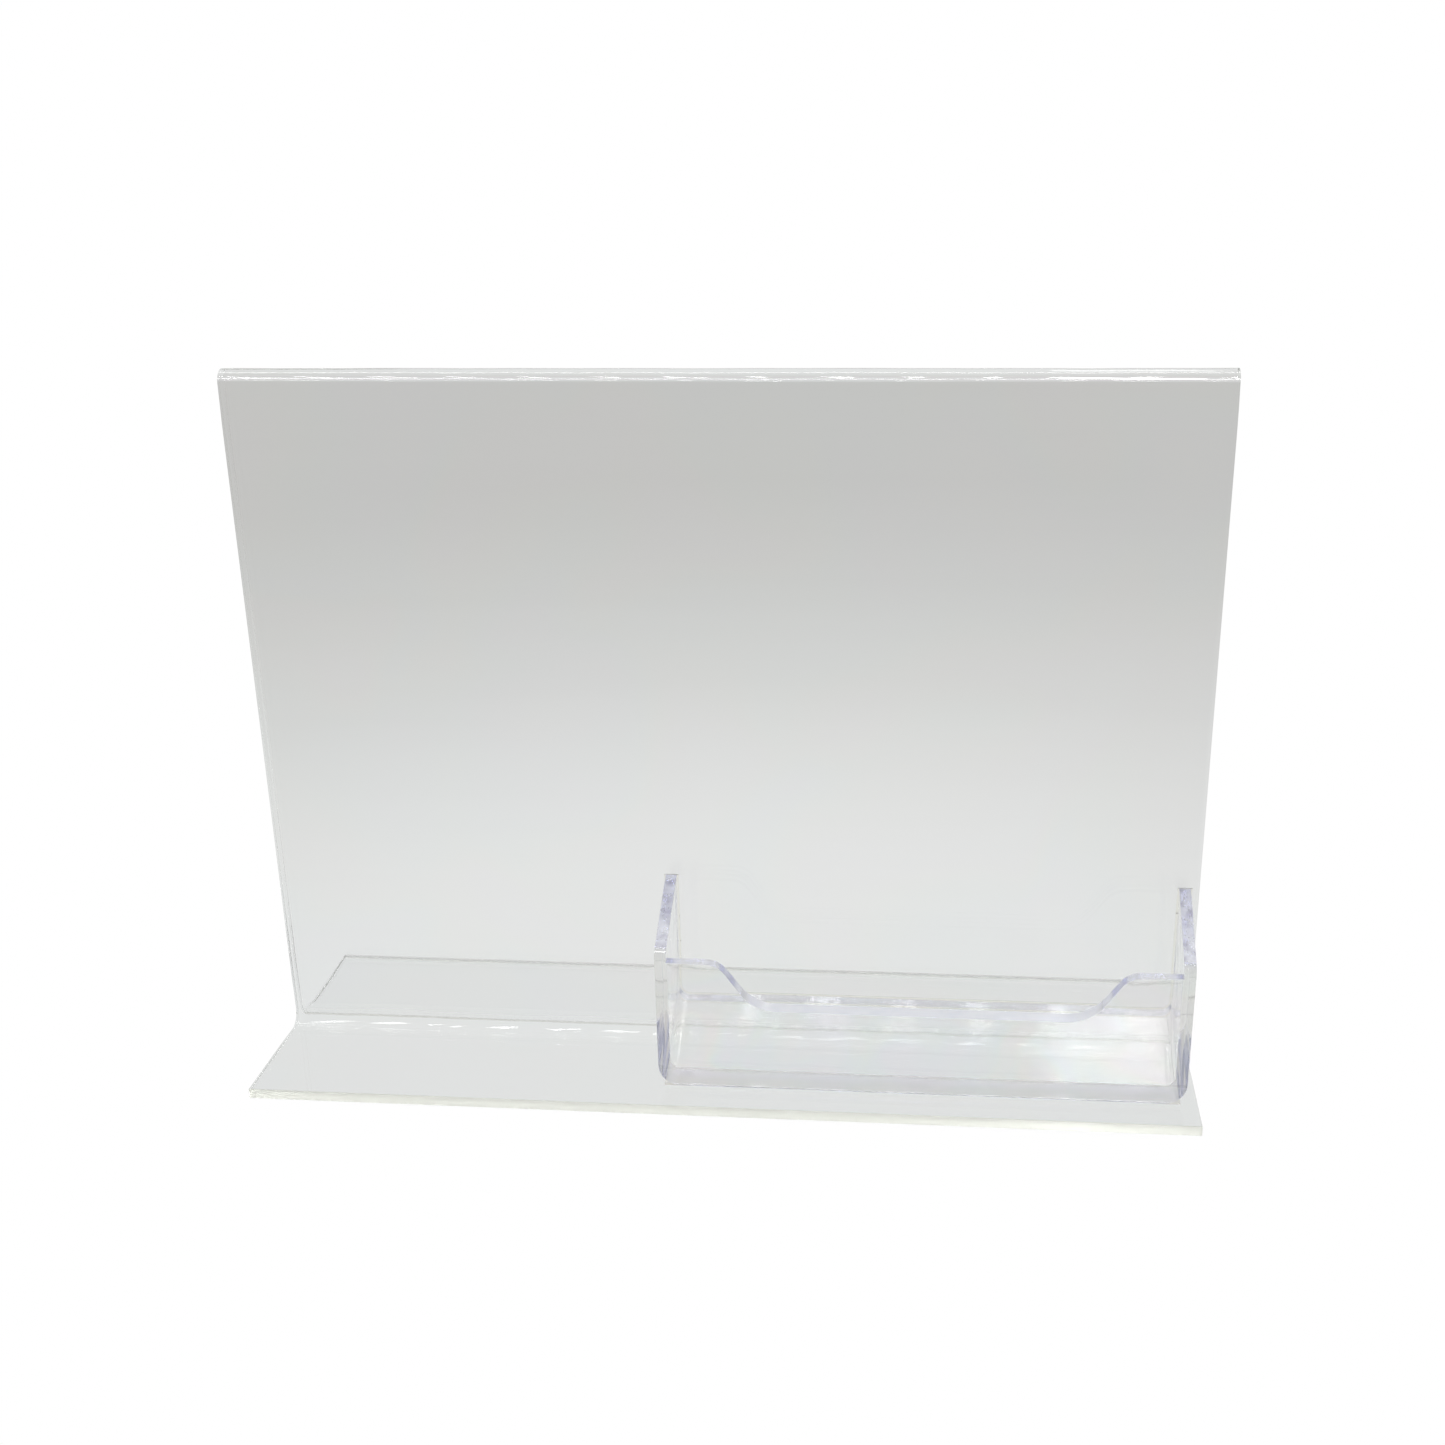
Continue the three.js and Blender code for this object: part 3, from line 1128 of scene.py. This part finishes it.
@dataclass
class CementDrop:
    """A drop of cement in the wedge between the wing and the pocket's floor."""

    node: str
    piece_name: str
    edge_round: float = 0.3 * MM
    round_steps: int = 4
    flat_angle: float = math.radians(2)

    def build(self) -> None:
        """Makes the drop from its wedge, with every edge drawn round."""
        shape = merged_copy(self.node)
        bmesh.ops.dissolve_limit(
            shape, angle_limit=self.flat_angle, verts=shape.verts, edges=shape.edges
        )
        piece = add_mesh_object(self.piece_name, shape)
        piece.data.materials.clear()
        piece.data.materials.append(SOLVENT_CEMENT.material())
        rounding = piece.modifiers.new("drop_round", "BEVEL")
        rounding.width = self.edge_round
        rounding.segments = self.round_steps
        bake_modifiers(piece)
        smooth_faces(piece.data)
        claim(piece, self.node)


# --- the studio ---


@dataclass(frozen=True)
class Lamp:
    """A rectangular lamp that hangs level and shines straight down.

    Its glow is how bright its face is next to a white wall.
    """

    name: str
    place: tuple[float, float, float]
    size: tuple[float, float]
    glow: float

    def hang(self) -> None:
        """Adds the lamp, out of the camera's sight."""
        lamp = bpy.data.lights.new(self.name, "AREA")
        lamp.shape = "RECTANGLE"
        lamp.size, lamp.size_y = self.size
        lamp.energy = self.glow * math.pi * self.size[0] * self.size[1]
        holder = bpy.data.objects.new(self.name, lamp)
        holder.location = self.place
        holder.visible_camera = False
        bpy.context.scene.collection.objects.link(holder)


@dataclass
class Studio:
    """Pale floor with a painted pool of light and a painted shadow, soft light all round and a row of
    narrow lamps overhead.
    """

    floor_radius: float = 4.0
    floor_sides: int = 64
    floor_drop: float = 0.05 * MM
    # Radius, levels and tints of the pool of light painted into the floor's glow.
    pool_radius: float = 0.56
    near_level: float = 0.80
    far_level: float = 0.55
    near_tint: Colour = (0.985, 1.0, 0.993)
    far_tint: Colour = (1.0, 1.0, 0.98)
    horizon_level: float = 0.64
    zenith_level: float = 0.75
    # Size, softness and tint of the shadow painted on the floor under the wings.
    shade_half: tuple[float, float] = (0.0905, 0.0315)
    shade_soft: float = 0.003
    shade_tint: Colour = (0.972, 0.975, 0.975)
    row_middle: tuple[float, float, float] = (-0.027, -0.143, 0.30)
    row_spacing: float = 0.022
    row_count: int = 16
    row_size: tuple[float, float] = (0.006, 0.06)
    row_glow: float = 15.0
    strip: Lamp = Lamp("ceiling_strip", (-0.03, 0.013, 0.30), (0.36, 0.02), 6.0)
    side_lamp: Lamp = Lamp("side_lamp", (0.088, 0.10, 0.30), (0.04, 0.09), 3.0)
    bounces: int = 256

    @staticmethod
    def show(tree: NodeMaker, level: Socket, glow: str, output: str) -> None:
        """Ends a tree: white where it is seen directly, the level where the plastic shows it.

        Args:
            tree: the floor's or the room's tree.
            level: colour for the rays that come off the plastic.
            glow: type of the node that gives off the light.
            output: type of the tree's output node.
        """
        direct = tree.add("ShaderNodeLightPath").outputs["Is Camera Ray"]
        colour = tree.mixed(direct, level, (*WHITE, 1.0))
        light = tree.add(glow, {"Color": colour})
        tree.add(output, {"Surface": light.outputs[0]})

    def shade_mask(self, tree: NodeMaker, place: Socket) -> Socket:
        """Where a shadow of the foot is painted into the floor's glow: 1 under the wings, falling softly
        to 0.
        """
        split = tree.add("ShaderNodeSeparateXYZ", {0: place})
        masks = []
        for axis, half in zip("XY", self.shade_half):
            away = tree.math("ABSOLUTE", split.outputs[axis], 0.0)
            slope = tree.math("DIVIDE", tree.math("SUBTRACT", half, away), self.shade_soft)
            masks.append(tree.clamped(slope))
        return tree.math("MULTIPLY", *masks)

    def floor_colour(self, share: float) -> Colour:
        """The floor's colour for a share of the pool of light painted next to the object."""
        level = self.far_level + (self.near_level - self.far_level) * share
        red, green, blue = (
            level * (far + (near - far) * share) for near, far in zip(self.near_tint, self.far_tint)
        )
        return red, green, blue

    def floor(self) -> None:
        """Adds the floor: a painted pool of light in its glow, brightest round the object, greyer further
        out.
        """
        shape = bmesh.new()
        sides, radius = self.floor_sides, self.floor_radius
        bmesh.ops.create_circle(shape, cap_ends=True, radius=radius, segments=sides)
        shape.transform(Matrix.Translation((0, 0, -self.floor_drop)))
        floor = add_mesh_object("floor", shape)
        made = bpy.data.materials.new("pale_floor")
        tree = NodeMaker.emptied(made)
        place = tree.add("ShaderNodeTexCoord").outputs["Object"]
        away = tree.add("ShaderNodeVectorMath", {0: place}, operation="LENGTH").outputs["Value"]
        falls = [(0.0, 1.0), (0.17, 1.0), (0.3, 0.76), (0.43, 0.5), (0.66, 0.2), (1.0, 0.0)]
        stops = [(where, self.floor_colour(share)) for where, share in falls]
        # Painted pool of light: the floor's glow is brightest round the object and greyer further out.
        painted_light_pool = tree.ramp(tree.math("DIVIDE", away, self.pool_radius), stops, "B_SPLINE")
        # Painted shadow: the floor's glow is dimmed under the wings.
        dimmed = tree.mixed(self.shade_mask(tree, place), painted_light_pool, (*self.shade_tint, 1.0), "MULTIPLY")
        self.show(tree, dimmed, "ShaderNodeEmission", "ShaderNodeOutputMaterial")
        floor.data.materials.append(made)

    def surroundings(self) -> None:
        """Sets the soft light all round, from the horizon up to the ceiling."""
        world = bpy.data.worlds.new("soft_room")
        bpy.context.scene.world = world
        tree = NodeMaker.emptied(world)
        around = tree.add("ShaderNodeTexCoord").outputs["Generated"]
        height = tree.add("ShaderNodeSeparateXYZ", {0: around}).outputs["Z"]
        stops = [(0.0, (self.horizon_level,) * 3), (1.0, (self.zenith_level,) * 3)]
        level = tree.ramp(height, stops, "LINEAR")
        self.show(tree, level, "ShaderNodeBackground", "ShaderNodeOutputWorld")

    def lamps(self) -> None:
        """Hangs the row of lamps along the object's width, a strip and a side lamp."""
        middle, y, z = self.row_middle
        start = middle - (self.row_count - 1) / 2 * self.row_spacing
        for index in range(self.row_count):
            place = (start + index * self.row_spacing, y, z)
            Lamp(f"row_lamp_{index:02d}", place, self.row_size, self.row_glow).hang()
        self.strip.hang()
        self.side_lamp.hang()

    def build(self) -> None:
        """Sets the whole stage."""
        self.floor()
        self.surroundings()
        self.lamps()
        scene = bpy.context.scene
        scene.view_settings.view_transform = "Standard"
        scene.cycles.max_bounces = self.bounces
        scene.cycles.transmission_bounces = self.bounces
        scene.cycles.glossy_bounces = self.bounces


@dataclass
class StudioCamera:
    """The viewpoint: a little right of the middle, looking down on the holder."""

    place: tuple[float, float, float] = (0.04244, -0.32264, 0.17691)
    yaw: float = math.radians(-6.076)
    pitch: float = math.radians(22.416)
    roll: float = math.radians(0.879)
    lens: float = 45.81
    sensor: float = 36.0
    clip: tuple[float, float] = (0.01, 20.0)
    shift: tuple[float, float] = (-0.0329, 0.0823)

    def build(self) -> None:
        """Adds the camera and makes it the scene's."""
        data = bpy.data.cameras.new("studio_camera")
        data.lens = self.lens
        data.sensor_width = self.sensor
        data.shift_x, data.shift_y = self.shift
        data.clip_start, data.clip_end = self.clip
        camera = bpy.data.objects.new("studio_camera", data)
        bpy.context.scene.collection.objects.link(camera)
        turn = Matrix.Rotation(-self.yaw, 4, "Z")
        nod = Matrix.Rotation(math.pi / 2 - self.pitch, 4, "X")
        lean = Matrix.Rotation(-self.roll, 4, "Z")
        camera.matrix_world = Matrix.Translation(self.place) @ turn @ nod @ lean
        bpy.context.scene.camera = camera


# --- the assembly ---


def main() -> None:
    """Builds the camera, the studio and every piece, in that order."""
    logging.basicConfig(level=logging.INFO, format="%(name)s %(message)s")
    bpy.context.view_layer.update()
    StudioCamera().build()
    Studio().build()
    BentSheet().build()
    CardPocket().build()
    CementSeam("cement_seam_floor", "floor_cement_seam").build()
    for side in Side:
        name = side.name.lower()
        CementSeam(f"cement_seam_{name}", f"{name}_cement_seam").build()
        CementDrop(f"cement_drop_{name}", f"{name}_cement_drop").build()


if __name__ == "__main__":
    main()
